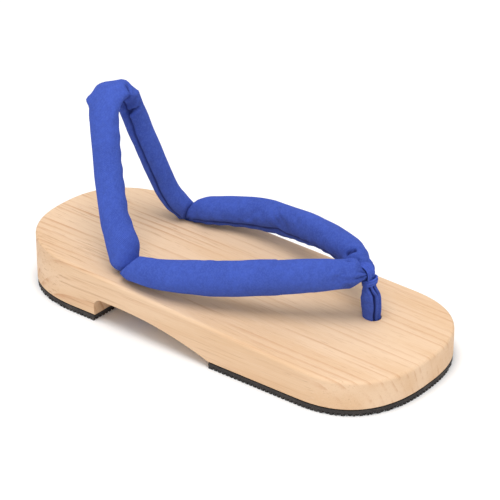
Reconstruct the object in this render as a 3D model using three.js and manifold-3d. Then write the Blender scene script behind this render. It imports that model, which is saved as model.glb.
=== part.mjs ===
// Geta sandal for the right foot: a one-piece wooden base with a heel block and a forefoot block,
// two rubber outsoles, a padded V thong with its toe post, and a padded heel strap.
// Millimetres. +Z is up, the toe points to -Y, and the wearer's left is +X.
// The origin is on the floor, under the middle of the base.

import * as THREE from 'three';
import { mergeVertices } from 'three/addons/utils/BufferGeometryUtils.js';
import Module from 'manifold-3d';

const wasm = await Module();
wasm.setup();

// ---- Driving sizes ------------------------------------------------------------

const LENGTH = 240;
const HEEL_HEIGHT = 31.3;        // floor to the top of the wood, at the heel end
const TOE_HEIGHT = 18.2;         // floor to the top of the wood, at the toe end
const HEEL_HALF_WIDTH = 47;      // the straight sides, carried on to the heel end
const TOE_HALF_WIDTH = 51.7;     // the straight sides, carried on to the toe end
const HEEL_ROUND = { length: 0.21, power: 2.4 };   // share of the length that rounds off
const TOE_ROUND = { length: 0.185, power: 2.44 };
const TOP_EDGE_RADIUS = 1.8;
const BOTTOM_EDGE = 0.6;

const RUBBER = 3.2;              // outsole thickness
const GAP = 0.3;                 // clearance between pieces that touch
const WOOD_BOTTOM = RUBBER + GAP;
const SOLE_INSET = 0.2;          // each outsole's edge lies this far inside the wood's edge
const SOLE_SETBACK = 0.5;        // and this far inside its block's face in the arch

const HEEL_FRONT_Y = 56;         // upright front face of the heel block
const ARCH_TOP = 13.6;           // underside of the waist, just ahead of the heel block
const ARCH_TOP_Y = 42;
const ARCH_RADIUS = 210;         // the underside falls away from there on this arc
const ARCH_CORNER = 5;           // round corner between the underside and the heel block
const FOREFOOT_REAR_Y = -20.5;   // upright rear face of the forefoot block

// Where the two holes for the straps meet the top. Each leans, so that it comes out ahead of the
// heel block. The inner one (big-toe side) is further back.
const OUTER_HOLE = { x: -33.5, y: 45, creaseLean: 0.9 };
const INNER_HOLE = { x: 33.6, y: 57.0, creaseLean: 0.35 };
const SIDE_HOLE_RADIUS = 4.8;
const SIDE_HOLE_LEAN = 0.45;     // forwards for each millimetre down
const TOE_HOLE = { x: 14.0, y: -76.2, radius: 4.7, depth: 12 };
const NECK_RADIUS = 4.3;         // the two strap ends together, where a side hole holds them
const CREASE_RISE = 17;          // above the board, the crease between the straps leans forwards
const KNOT = { wide: 5.8, high: 3.5 };   // half sizes of the knot under each side hole

const APEX = new THREE.Vector3(10.7, -72.5, 46.8);   // middle of the thong's bend, at the toes
const BEND = { steps: [-6.6, -4.3, 0, 4.3, 6.6], radius: 4.5 };   // slim stretch in the binding

const BINDING = { inner: 4.95, outer: 6.5, width: 8.4, bevel: 0.9 };   // the toe post's loop
const POST_SINK = 7;             // how far the toe post goes down into its hole

const BEYOND = 60;               // reaches past the part, for whatever cuts right through it

// ---- Section tables ------------------------------------------------------------

// The thong's arms, from the side hole towards the bend: centre of each section, and half size.
const OUTER_ARM = [
  { x: -36.5, y: 45, z: 35.3, radius: 7.2 },
  { x: -39.3, y: 36, z: 35.3, radius: 7.8 },
  { x: -40.3, y: 22, z: 36.2, radius: 8.1 },
  { x: -37.4, y: 6, z: 38.2, radius: 8.5 },
  { x: -31.5, y: -11, z: 40.3, radius: 8.7 },
  { x: -24.0, y: -28, z: 42.7, radius: 8.5 },
  { x: -14.0, y: -46, z: 45.1, radius: 8.2 },
  { x: -4.2, y: -58.5, z: 46.4, radius: 7.8 },
  { x: 1.8, y: -64.6, z: 46.8, radius: 6.8 },
];
const INNER_ARM = [
  { x: 32.4, y: 52.4, z: 34.6, radius: 6.4 },
  { x: 34.8, y: 43, z: 35.7, radius: 7.6 },
  { x: 40.6, y: 29, z: 36.8, radius: 8.1 },
  { x: 42.6, y: 14, z: 38.7, radius: 8.3 },
  { x: 40.8, y: -3, z: 41.2, radius: 8.4 },
  { x: 36.6, y: -20, z: 43.7, radius: 8.3 },
  { x: 31.0, y: -37, z: 45.8, radius: 8.1 },
  { x: 24.6, y: -53, z: 47.0, radius: 7.7 },
  { x: 19.6, y: -61.5, z: 47.0, radius: 6.8 },
];

// The heel strap's legs, from the side hole up to the fold. wide is the half size from side to
// side, deep from front to back: the strap flattens towards the fold.
const OUTER_LEG = [
  { x: -36.5, y: 45.5, z: 35.8, wide: 7.2, deep: 7.2 },
  { x: -34.2, y: 50, z: 43.5, wide: 7.6, deep: 7.6 },
  { x: -30.0, y: 56.5, z: 56, wide: 7.6, deep: 7.6 },
  { x: -25.2, y: 62.8, z: 69, wide: 7.6, deep: 7.6 },
  { x: -20.3, y: 68.4, z: 82, wide: 7.6, deep: 7.7 },
  { x: -15.8, y: 73.3, z: 94, wide: 7.1, deep: 8.2 },
  { x: -10.2, y: 77.5, z: 103.5, wide: 5.8, deep: 9.2 },
];
const INNER_LEG = [
  { x: 29.0, y: 57.9, z: 35.2, wide: 6.2, deep: 6.2 },
  { x: 25.9, y: 62.3, z: 40.2, wide: 6.6, deep: 6.6 },
  { x: 23.7, y: 66.0, z: 47, wide: 6.8, deep: 6.8 },
  { x: 21.3, y: 69.1, z: 56.5, wide: 6.9, deep: 6.9 },
  { x: 18.0, y: 71.7, z: 68, wide: 6.9, deep: 6.9 },
  { x: 14.5, y: 74.5, z: 80, wide: 7.0, deep: 7.0 },
  { x: 11.2, y: 76.9, z: 92, wide: 6.8, deep: 7.5 },
  { x: 7.0, y: 78.5, z: 101.8, wide: 5.8, deep: 8.8 },
];
const HEEL_FOLD = { x: -1.6, y: 79.2, z: 108.4, wide: 4.6, deep: 9.8 };

// The toe post, from inside its hole up into the binding: half sizes of its section.
const TOE_POST = [
  { share: 0.00, wide: 3.8, deep: 3.8 },
  { share: 0.26, wide: 4.0, deep: 3.9 },
  { share: 0.42, wide: 4.7, deep: 4.2 },
  { share: 0.62, wide: 4.6, deep: 4.0 },
  { share: 0.80, wide: 3.8, deep: 3.7 },
  { share: 0.88, wide: 3.9, deep: 3.9 },
  { share: 1.00, wide: 4.2, deep: 4.2 },
];

// ---- Geometry helpers ------------------------------------------------------------

function closedGeometry(positions, triangles) {
  const geometry = new THREE.BufferGeometry();
  geometry.setAttribute('position', new THREE.Float32BufferAttribute(positions, 3));
  geometry.setIndex(triangles);
  return geometry;
}

// Skins a stack of rings, each with the same number of points, and closes both ends.
function loft(rings) {
  const count = rings[0].length;
  const positions = rings.flat().flatMap((p) => [p.x, p.y, p.z]);
  const triangles = [];
  for (let r = 0; r + 1 < rings.length; r += 1) {
    for (let i = 0; i < count; i += 1) {
      const a = r * count + i;
      const b = r * count + (i + 1) % count;
      triangles.push(a, b, b + count, a, b + count, a + count);
    }
  }
  const last = (rings.length - 1) * count;
  for (let i = 1; i + 1 < count; i += 1) {
    triangles.push(0, i + 1, i);
    triangles.push(last, last + i, last + i + 1);
  }
  return closedGeometry(positions, triangles);
}

// A padded tube along a smooth line through the rows' centres. wide is the half size across
// the line and the facing direction, deep the half size along the facing direction. Each end is
// closed by a dome.
function paddedTube(rows, facing, rings, sides = 14) {
  const line = new THREE.CatmullRomCurve3(rows.map((row) => row.at), false, 'centripetal');
  const shares = rows.map((row) => nearestShare(line, row.at));
  const stack = [];
  for (let r = 0; r <= rings; r += 1) {
    const share = r / rings;
    const size = sizeAt(rows, shares, share);
    stack.push(section(line.getPoint(share), line.getTangent(share), facing, size, sides));
  }
  const start = dome(line, 0, facing, rows[0], sides).reverse();
  const end = dome(line, 1, facing, rows[rows.length - 1], sides);
  return loft([...start, ...stack, ...end]);
}

function nearestShare(line, point) {
  const index = line.points.indexOf(point);
  return index / (line.points.length - 1);
}

function sizeAt(rows, shares, share) {
  let i = 0;
  while (i + 2 < rows.length && shares[i + 1] < share) i += 1;
  const t = THREE.MathUtils.clamp((share - shares[i]) / (shares[i + 1] - shares[i]), 0, 1);
  const blend = t * t * (3 - 2 * t);
  return {
    wide: THREE.MathUtils.lerp(rows[i].wide, rows[i + 1].wide, blend),
    deep: THREE.MathUtils.lerp(rows[i].deep, rows[i + 1].deep, blend),
  };
}

function section(centre, tangent, facing, size, sides) {
  const across = new THREE.Vector3().crossVectors(tangent, facing).normalize();
  const out = new THREE.Vector3().crossVectors(across, tangent).normalize();
  const ring = [];
  for (let i = 0; i < sides; i += 1) {
    const angle = (2 * Math.PI * i) / sides;
    ring.push(centre.clone()
      .addScaledVector(out, size.deep * Math.cos(angle))
      .addScaledVector(across, size.wide * Math.sin(angle)));
  }
  return ring;
}

function dome(line, share, facing, size, sides) {
  const tangent = line.getTangent(share);
  const outward = share > 0.5 ? 1 : -1;
  return [30, 58, 82].map((degrees) => {
    const angle = THREE.MathUtils.degToRad(degrees);
    const centre = line.getPoint(share)
      .addScaledVector(tangent, outward * Math.min(size.wide, size.deep) * Math.sin(angle));
    const shrunk = { wide: size.wide * Math.cos(angle), deep: size.deep * Math.cos(angle) };
    return section(centre, tangent, facing, shrunk, sides);
  });
}

// A flat shape in the Y-Z plane, drawn as [y, z] corners and extruded along X about centreX.
function extrudeAcross(corners, width, centreX = 0) {
  const shape = new THREE.Shape(corners.map(([y, z]) => new THREE.Vector2(y, z)));
  const geometry = new THREE.ExtrudeGeometry(shape, { depth: width, bevelEnabled: false });
  geometry.rotateX(Math.PI / 2);
  geometry.rotateZ(Math.PI / 2);
  geometry.translate(centreX - width / 2, 0, 0);
  return geometry;
}

// A round rod about the straight line from one point to another.
function rod(radius, from, to, sides = 24) {
  const length = from.distanceTo(to);
  const geometry = new THREE.CylinderGeometry(radius, radius, length, sides);
  const upright = new THREE.Vector3(0, 1, 0);
  const along = to.clone().sub(from).normalize();
  geometry.applyQuaternion(new THREE.Quaternion().setFromUnitVectors(upright, along));
  const middle = from.clone().lerp(to, 0.5);
  geometry.translate(middle.x, middle.y, middle.z);
  return geometry;
}

// ---- Joining and cutting ------------------------------------------------------------

function solid(geometry) {
  const bare = geometry.clone();
  for (const name of Object.keys(bare.attributes)) {
    if (name !== 'position') bare.deleteAttribute(name);
  }
  const welded = mergeVertices(bare, 1e-4);
  return new wasm.Manifold(new wasm.Mesh({
    numProp: 3,
    vertProperties: new Float32Array(welded.attributes.position.array),
    triVerts: new Uint32Array(welded.index.array),
  }));
}

function geometryOf(manifold) {
  const mesh = manifold.getMesh();
  return closedGeometry(Array.from(mesh.vertProperties), Array.from(mesh.triVerts));
}

const join = (...pieces) => pieces.reduce((whole, piece) => whole.add(piece));

// ---- Wooden base ------------------------------------------------------------

function topHeight(y) {
  return THREE.MathUtils.mapLinear(y, LENGTH / 2, -LENGTH / 2, HEEL_HEIGHT, TOE_HEIGHT);
}

// One side of the plan outline, from heel to toe, as {share of the length, half width}.
function sideOutline(steps = 17) {
  const side = [];
  const straight = (share) => THREE.MathUtils.lerp(HEEL_HALF_WIDTH, TOE_HALF_WIDTH, share);
  const corner = (round, step) => {
    const angle = (step / steps) * (Math.PI / 2);
    return {
      along: round.length * (1 - Math.cos(angle) ** (2 / round.power)),
      width: Math.sin(angle) ** (2 / round.power),
    };
  };
  for (let step = 0; step <= steps; step += 1) {
    const { along, width } = corner(HEEL_ROUND, step);
    side.push({ share: along, half: straight(along) * width });
  }
  for (const share of [0.34, 0.5, 0.66]) side.push({ share, half: straight(share) });
  for (let step = steps; step >= 0; step -= 1) {
    const { along, width } = corner(TOE_ROUND, step);
    side.push({ share: 1 - along, half: straight(1 - along) * width });
  }
  return side;
}

// The whole outline, anticlockwise from above, moved inwards by inset.
function planOutline(inset = 0) {
  const side = sideOutline();
  const at = (row, sign) => new THREE.Vector2(sign * row.half, LENGTH / 2 - row.share * LENGTH);
  const outer = side.slice(1, -1).map((row) => at(row, -1));
  const inner = side.slice(1, -1).reverse().map((row) => at(row, 1));
  const loop = [at(side[0], 1), ...outer, at(side[side.length - 1], 1), ...inner];
  return loop.map((point, i) => {
    const before = loop[(i + loop.length - 1) % loop.length];
    const after = loop[(i + 1) % loop.length];
    const run = after.clone().sub(before).normalize();
    return new THREE.Vector2(point.x - run.y * inset, point.y + run.x * inset);
  });
}

function wholeBase() {
  const flat = (inset, z) => planOutline(inset).map((p) => new THREE.Vector3(p.x, p.y, z));
  const sloped = (inset, below) => planOutline(inset)
    .map((p) => new THREE.Vector3(p.x, p.y, topHeight(p.y) - below));
  const edge = [0, 30, 60, 90].map((degrees) => {
    const angle = THREE.MathUtils.degToRad(degrees);
    return sloped(TOP_EDGE_RADIUS * (1 - Math.cos(angle)), TOP_EDGE_RADIUS * (1 - Math.sin(angle)));
  });
  return loft([flat(BOTTOM_EDGE, WOOD_BOTTOM), flat(0, WOOD_BOTTOM + BOTTOM_EDGE), ...edge]);
}

function archHeight(y) {
  const away = ARCH_TOP_Y - Math.min(y, ARCH_TOP_Y);
  return ARCH_TOP - (ARCH_RADIUS - Math.sqrt(ARCH_RADIUS ** 2 - away ** 2));
}

// The space between the two blocks, drawn from the side.
function archCutter() {
  const corners = [[FOREFOOT_REAR_Y, -1], [HEEL_FRONT_Y, -1]];
  for (let degrees = 0; degrees <= 90; degrees += 18) {
    const angle = THREE.MathUtils.degToRad(degrees);
    corners.push([
      HEEL_FRONT_Y - ARCH_CORNER * (1 - Math.cos(angle)),
      ARCH_TOP - ARCH_CORNER * (1 - Math.sin(angle)),
    ]);
  }
  const steps = 8;
  for (let step = 0; step <= steps; step += 1) {
    const y = THREE.MathUtils.lerp(ARCH_TOP_Y, FOREFOOT_REAR_Y, step / steps);
    corners.push([y, archHeight(y)]);
  }
  return extrudeAcross(corners, 2 * BEYOND);
}

// A point on a side hole's leaning axis, at height z.
function holeAxis(hole, z) {
  const below = topHeight(hole.y) - z;
  return new THREE.Vector3(hole.x, hole.y - below * SIDE_HOLE_LEAN, z);
}

function woodenBase() {
  const toeHoleFloor = topHeight(TOE_HOLE.y) - TOE_HOLE.depth;
  const toeHole = rod(
    TOE_HOLE.radius,
    new THREE.Vector3(TOE_HOLE.x, TOE_HOLE.y, toeHoleFloor),
    new THREE.Vector3(TOE_HOLE.x, TOE_HOLE.y, BEYOND),
  );
  let base = solid(wholeBase()).subtract(solid(archCutter())).subtract(solid(toeHole));
  for (const hole of [OUTER_HOLE, INNER_HOLE]) {
    const sideHole = rod(SIDE_HOLE_RADIUS, holeAxis(hole, WOOD_BOTTOM), holeAxis(hole, BEYOND));
    base = base.subtract(solid(sideHole));
  }
  return geometryOf(base);
}

// ---- Outsoles ------------------------------------------------------------

function outsole(fromY, toY) {
  const ring = (z) => planOutline(SOLE_INSET).map((p) => new THREE.Vector3(p.x, p.y, z));
  const slab = solid(loft([ring(0), ring(RUBBER)]));
  const band = [[fromY, -1], [toY, -1], [toY, RUBBER + 1], [fromY, RUBBER + 1]];
  return geometryOf(slab.intersect(solid(extrudeAcross(band, 2 * BEYOND))));
}

const heelOutsole = () => outsole(HEEL_FRONT_Y + SOLE_SETBACK, LENGTH);
const forefootOutsole = () => outsole(-LENGTH, FOREFOOT_REAR_Y - SOLE_SETBACK);

// ---- Parting of the two straps at a side hole ------------------------------------------------------------

// What to cut away on one side of the crease between the straps: ahead of it (sign -1) or behind
// it (sign +1), and half the gap. The crease follows the hole, then leans forward over the board.
function besideCrease(hole, sign) {
  const shift = (-sign * GAP) / 2;
  const board = topHeight(hole.y);
  const low = holeAxis(hole, 0);
  const tipY = hole.y + shift - CREASE_RISE * hole.creaseLean;
  const far = hole.y + sign * BEYOND;
  const corners = [
    [low.y + shift, low.z],
    [hole.y + shift, board],
    [tipY, board + CREASE_RISE],
    [tipY, board + BEYOND],
    [far, board + BEYOND],
    [far, low.z],
  ];
  const width = 34;
  return solid(extrudeAcross(sign > 0 ? corners.reverse() : corners, width, hole.x));
}

// ---- Thong ------------------------------------------------------------

// The ring that the toe post makes around the bend, made larger all over by clearance.
function bindingLoop(clearance = 0) {
  const { bevel } = BINDING;
  const width = BINDING.width + 2 * clearance;
  const inner = BINDING.inner - clearance;
  const shape = new THREE.Shape().absarc(0, 0, BINDING.outer + clearance, 0, 2 * Math.PI);
  shape.holes.push(new THREE.Path().absarc(0, 0, inner, 0, 2 * Math.PI, true));
  const loop = new THREE.ExtrudeGeometry(shape, {
    depth: width - 2 * bevel,
    curveSegments: 12,
    bevelSize: bevel / 2,
    bevelOffset: -bevel / 2,
    bevelThickness: bevel,
    bevelSegments: 1,
  });
  loop.rotateY(Math.PI / 2);
  loop.translate(APEX.x - width / 2 + bevel, APEX.y, APEX.z);
  return loop;
}

function rowOf({ x, y, z, radius, wide = radius, deep = radius }) {
  return { at: new THREE.Vector3(x, y, z), wide, deep };
}

// The end of an arm that goes down its hole, with its knot under the board.
function armEnd(hole) {
  const centre = holeAxis(hole, ARCH_TOP - GAP - KNOT.high);
  const ball = new THREE.SphereGeometry(1, 14, 8);
  ball.rotateX(Math.PI / 2);
  ball.scale(KNOT.wide, KNOT.wide, KNOT.high);
  ball.translate(centre.x, centre.y - 1.5, centre.z);
  const neck = rod(NECK_RADIUS, centre, holeAxis(hole, topHeight(hole.y) + 5));
  const half = solid(neck).subtract(besideCrease(hole, 1));
  return half.add(solid(ball));
}

function bendRows() {
  return BEND.steps.map((step) => ({
    at: APEX.clone().setX(APEX.x + step),
    wide: BEND.radius,
    deep: BEND.radius,
  }));
}

function thongStrap() {
  const up = new THREE.Vector3(0, 0, 1);
  const rows = [...OUTER_ARM.map(rowOf), ...bendRows(), ...INNER_ARM.map(rowOf).reverse()];
  let strap = solid(paddedTube(rows, up, 64)).subtract(solid(bindingLoop(GAP)));
  for (const hole of [OUTER_HOLE, INNER_HOLE]) {
    strap = strap.subtract(besideCrease(hole, 1)).add(armEnd(hole));
  }
  return geometryOf(strap);
}

// ---- Heel strap ------------------------------------------------------------

function heelStrap() {
  const back = new THREE.Vector3(0, 1, 0);
  const rows = [...OUTER_LEG, HEEL_FOLD, ...[...INNER_LEG].reverse()].map(rowOf);
  let strap = solid(paddedTube(rows, back, 60));
  for (const hole of [OUTER_HOLE, INNER_HOLE]) {
    const board = topHeight(hole.y);
    const neck = rod(NECK_RADIUS, holeAxis(hole, board - 9), holeAxis(hole, board + 5));
    strap = strap.add(solid(neck)).subtract(besideCrease(hole, -1));
  }
  return geometryOf(strap);
}

// ---- Toe post ------------------------------------------------------------

function toePost() {
  const middleOfBinding = (BINDING.inner + BINDING.outer) / 2;
  const bottom = new THREE.Vector3(TOE_HOLE.x, TOE_HOLE.y, topHeight(TOE_HOLE.y) - POST_SINK);
  const top = APEX.clone().setZ(APEX.z - middleOfBinding);
  const up = new THREE.Vector3(0, 0, 1);
  const back = new THREE.Vector3(0, 1, 0);
  const rings = TOE_POST.map((row) => {
    const lean = THREE.MathUtils.smoothstep(row.share, 0.28, 0.9);   // upright in the hole
    const at = bottom.clone().lerp(top, lean);
    at.z = THREE.MathUtils.lerp(bottom.z, top.z, row.share);
    return section(at, up, back, row, 16);
  });
  return geometryOf(join(solid(loft(rings)), solid(bindingLoop())));
}

// ---- Assembly ------------------------------------------------------------

const wood = () => new THREE.MeshStandardMaterial({ color: 0xe6c398, roughness: 0.6, metalness: 0 });
const rubber = () => new THREE.MeshStandardMaterial({ color: 0x2b2725, roughness: 0.85, metalness: 0 });
const fabric = () => new THREE.MeshStandardMaterial({ color: 0x3f55b8, roughness: 0.9, metalness: 0 });

const geta = new THREE.Group();
const pieces = [
  ['wooden_base', woodenBase, wood],
  ['heel_outsole', heelOutsole, rubber],
  ['forefoot_outsole', forefootOutsole, rubber],
  ['thong_strap', thongStrap, fabric],
  ['toe_post', toePost, fabric],
  ['heel_strap', heelStrap, fabric],
];
for (const [name, shape, material] of pieces) {
  const mesh = new THREE.Mesh(shape(), material());
  mesh.name = name;
  geta.add(mesh);
}

export default geta;
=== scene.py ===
"""A low wooden geta sandal for the right foot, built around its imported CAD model.

Sizes in the tables are millimetres in the model's own frame: +Z up, the toe to -Y, the wearer's
left (the big-toe side) to +X, the floor at z = 0. Meshes are written out in metres.
"""

import math

import bmesh
import bpy
import numpy as np
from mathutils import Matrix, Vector, noise


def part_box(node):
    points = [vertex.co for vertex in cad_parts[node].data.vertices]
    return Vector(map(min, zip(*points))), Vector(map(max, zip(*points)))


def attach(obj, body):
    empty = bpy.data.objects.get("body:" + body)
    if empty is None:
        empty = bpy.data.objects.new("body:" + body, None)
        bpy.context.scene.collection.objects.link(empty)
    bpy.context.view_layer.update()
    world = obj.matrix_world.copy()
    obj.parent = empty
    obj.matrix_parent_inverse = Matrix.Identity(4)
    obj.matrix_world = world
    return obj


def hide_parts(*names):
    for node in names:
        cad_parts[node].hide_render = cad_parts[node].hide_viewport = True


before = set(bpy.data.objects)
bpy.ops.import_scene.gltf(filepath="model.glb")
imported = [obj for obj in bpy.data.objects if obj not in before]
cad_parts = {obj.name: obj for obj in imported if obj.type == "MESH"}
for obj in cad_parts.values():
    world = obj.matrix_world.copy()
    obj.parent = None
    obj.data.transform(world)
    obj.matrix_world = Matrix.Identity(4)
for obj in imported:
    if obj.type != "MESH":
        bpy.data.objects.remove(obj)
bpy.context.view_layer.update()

MM = 0.001

# ---- Sizes of the wood and the rubber -----------------------------------------------------------

base_low, base_high = (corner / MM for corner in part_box("wooden_base"))
LENGTH = base_high.y - base_low.y
WOOD_BOTTOM = base_low.z
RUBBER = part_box("heel_outsole")[1].z / MM
HEEL_HEIGHT = 31.3               # floor to the top of the wood, at the heel end
TOE_HEIGHT = 18.2                # floor to the top of the wood, at the toe end
HEEL_HALF_WIDTH = 47.0           # the straight sides, carried on to the heel end
TOE_HALF_WIDTH = 51.7            # the straight sides, carried on to the toe end
HEEL_ROUND = {"length": 0.21, "power": 2.4}      # share of the length that rounds off
TOE_ROUND = {"length": 0.185, "power": 2.44}
TOP_EDGE_RADIUS = 1.8
BOTTOM_EDGE = 0.6
SOLE_INSET = 0.2

SOLE_SETBACK = 0.5               # each outsole's edge lies this far inside its block's face
HEEL_FRONT_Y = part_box("heel_outsole")[0].y / MM - SOLE_SETBACK
FOREFOOT_REAR_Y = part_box("forefoot_outsole")[1].y / MM + SOLE_SETBACK
ARCH_TOP = 13.6                  # underside of the waist, just ahead of the heel block
ARCH_TOP_Y = 42.0
ARCH_RADIUS = 210.0              # the underside falls away from there on this arc
ARCH_CORNER = 5.0

OUTER_HOLE = {"x": -33.5, "y": 45.0, "crease_lean": 0.9}
INNER_HOLE = {"x": 33.6, "y": 57.0, "crease_lean": 0.35}
SIDE_HOLE_RADIUS = 4.8
SIDE_HOLE_LEAN = 0.45            # forwards for each millimetre down
TOE_HOLE = {"x": 14.0, "y": -76.2, "radius": 4.7, "depth": 12.0}
GAP = 0.3                        # clearance between pieces that touch
CREASE_REACH = 17.0              # how far round a side hole, and above it, the two straps press
BOARD_CLEARANCE = 0.25           # between the board and a strap that lies on it
NECK_RADIUS = 4.3                # the two straps' gathered ends, in a side hole
NECK_DEPTH = 1.5                 # they start this far below the top of the board
KNOT = {"wide": 5.8, "tall": 3.5, "ahead": 1.5}
BEYOND = 70.0                    # reaches past the part, for whatever cuts right through it

TREAD = {"pitch": 2.5, "groove": 1.3, "depth": 1.4}

LOG_CENTRE = (190.0, 70.0)       # the wood's pith, this far to the -X side and below the floor
RING_PITCH = 4.3                 # between two growth rings
SPECK = (12.6, -66.6, 22.9)      # a pin knot in the board's top
TWILL_PITCH = 1.1                # between two diagonals of the cloth

# ---- Lines of the straps ------------------------------------------------------------------------

APEX = Vector((11.0, -72.5, 45.7))      # middle of the thong's bend, at the toes
BEND_RADIUS = 3.9
BEND_STEPS = [-3.6, -1.8, 0.0, 1.8, 3.6]        # sections of the bend, to each side of the apex
BINDING = {"inner": 4.1, "outer": 4.9, "width": 6.2}
STRAP_RADIUS = 8.0               # about half a strap's thickness, for lengths round it

# From each side hole to the bend at the toes: centre of the section and its half size.
OUTER_ARM = [
    {"x": -36.3, "y": 43.4, "z": 33.0, "radius": 6.6},
    {"x": -39.3, "y": 36.0, "z": 34.6, "radius": 7.5},
    {"x": -40.3, "y": 22.0, "z": 36.2, "radius": 8.2},
    {"x": -37.4, "y": 6.0, "z": 38.1, "radius": 8.6},
    {"x": -31.5, "y": -11.0, "z": 40.2, "radius": 8.8},
    {"x": -24.0, "y": -28.0, "z": 42.6, "radius": 8.6},
    {"x": -14.0, "y": -46.0, "z": 45.0, "radius": 8.3},
    {"x": -4.2, "y": -58.5, "z": 46.3, "radius": 8.1},
    {"x": 0.6, "y": -64.4, "z": 46.6, "radius": 7.9},
    {"x": 5.2, "y": -70.4, "z": 46.8, "radius": 7.8},
]
INNER_ARM = [
    {"x": 32.6, "y": 53.4, "z": 33.0, "radius": 6.4},
    {"x": 34.8, "y": 43.0, "z": 35.7, "radius": 7.7},
    {"x": 40.6, "y": 29.0, "z": 36.8, "radius": 8.2},
    {"x": 42.6, "y": 14.0, "z": 38.6, "radius": 8.4},
    {"x": 40.8, "y": -3.0, "z": 41.1, "radius": 8.5},
    {"x": 36.6, "y": -20.0, "z": 43.6, "radius": 8.4},
    {"x": 31.0, "y": -37.0, "z": 45.7, "radius": 8.2},
    {"x": 24.6, "y": -53.0, "z": 47.0, "radius": 7.9},
    {"x": 20.0, "y": -60.8, "z": 47.0, "radius": 7.1},
    {"x": 17.0, "y": -66.4, "z": 46.6, "radius": 5.5},
]

# From each side hole up to the fold behind the heel: wide from side to side, deep front to back.
OUTER_LEG = [
    {"x": -35.8, "y": 44.8, "z": 35.0, "wide": 7.2, "deep": 9.0},
    {"x": -34.6, "y": 46.9, "z": 42.0, "wide": 7.8, "deep": 9.7},
    {"x": -32.0, "y": 52.8, "z": 50.0, "wide": 7.8, "deep": 8.5},
    {"x": -30.0, "y": 56.5, "z": 56.0, "wide": 7.8, "deep": 7.8},
    {"x": -25.2, "y": 62.8, "z": 69.0, "wide": 7.8, "deep": 7.8},
    {"x": -20.3, "y": 68.4, "z": 82.0, "wide": 7.7, "deep": 7.9},
    {"x": -15.8, "y": 73.3, "z": 94.0, "wide": 7.0, "deep": 8.6},
    {"x": -11.0, "y": 77.2, "z": 103.2, "wide": 5.6, "deep": 9.8},
]
INNER_LEG = [
    {"x": 29.6, "y": 58.6, "z": 34.0, "wide": 6.4, "deep": 6.6},
    {"x": 25.9, "y": 62.3, "z": 40.2, "wide": 6.8, "deep": 6.8},
    {"x": 23.7, "y": 66.0, "z": 47.0, "wide": 7.0, "deep": 7.0},
    {"x": 21.3, "y": 69.1, "z": 56.5, "wide": 7.1, "deep": 7.1},
    {"x": 18.0, "y": 71.7, "z": 68.0, "wide": 7.1, "deep": 7.1},
    {"x": 14.5, "y": 74.5, "z": 80.0, "wide": 7.1, "deep": 7.2},
    {"x": 11.2, "y": 76.9, "z": 92.0, "wide": 6.8, "deep": 7.8},
    {"x": 7.2, "y": 78.5, "z": 101.6, "wide": 5.6, "deep": 9.0},
]
HEEL_FOLD = {"x": -1.8, "y": 79.2, "z": 108.6, "wide": 4.3, "deep": 10.4}

# Creases pressed into the filled cloth, with painted shade along the troughs: the path, half the
# trough's width, and its depth.
HEEL_CREASES = [
    ([(2.8, 75.5, 113.7), (0.5, 70.0, 110.5), (-0.2, 70.5, 106.5), (0.5, 73.0, 103.0)], 1.0, 1.9),
    ([(4.8, 76.5, 93.5), (5.1, 72.7, 96.2), (9.2, 69.8, 98.9)], 1.1, 2.2),
    ([(2.9, 69.8, 106.2), (9.5, 71.0, 106.5)], 1.2, -0.9),
    ([(-31.5, 43.0, 38.0), (-34.0, 38.5, 46.0)], 0.9, 1.0),
    ([(-38.0, 41.5, 36.0), (-40.5, 43.5, 43.0)], 0.8, 0.9),
    ([(27.5, 55.0, 32.0), (25.0, 56.5, 42.0)], 0.9, 1.1),
]
THONG_CREASES = [
    (
        [(14.5, -58.2, 48.9), (14.9, -59.7, 51.2), (16.0, -61.3, 52.7), (18.4, -63.9, 52.8)],
        1.2,
        2.2,
    ),
    ([(4.2, -66.4, 54.5), (5.6, -69.5, 53.5), (6.4, -72.0, 51.5)], 0.75, 1.5),
    ([(1.5, -66.5, 54.6), (3.2, -70.5, 53.6), (4.6, -73.6, 51.5)], 0.75, 1.4),
    ([(12.0, -66.0, 50.0), (15.0, -68.5, 50.5)], 0.7, 1.2),
    ([(-42.5, 36.0, 30.0), (-44.5, 31.0, 31.0)], 0.9, 1.0),
]
# Hollows that the light hardly reaches, darkened with painted shade: the middle, how far round, and
# how dark.
HEEL_HOLLOW_SHADE = [((5.5, 72.5, 101.0), 5.0, 0.55), ((1.5, 77.0, 98.0), 4.5, 0.5)]
THONG_HOLLOW_SHADE = [((13.5, -64.5, 47.0), 5.5, 0.5), ((6.8, -73.5, 43.5), 3.2, 0.8)]
# Places where the folded cloth is drawn out or in: where, by how much, and how far round.
HEEL_PULLS = [
    ((-12.9, 86.1, 105.6), (-1.4, 1.8, 0.2), 3.2),
    ((-13.0, 86.0, 100.5), (0.7, -0.8, 0.0), 3.0),
    ((3.0, 76.0, 111.0), (0.6, -0.4, 2.6), 5.5),
    ((10.0, 72.0, 106.5), (0.8, -0.9, 0.6), 4.0),
]

# ---- Filling of the straps ----------------------------------------------------------------------

TUBE_SPACING = 2.5               # between two rings of the limp tube
TUBE_SIDES = 28
SLACK = 0.5                      # the limp tubes are this much thinner before they are filled
CLOTH_CAP = 2.2                  # no point of the cloth goes further than this
CLOTH_FRAMES = 20
CREASE_LIP = 0.35                # height of the ridges beside a crease, as a share of its depth

# ---- Sizes of the toe post ----------------------------------------------------------------------

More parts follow.
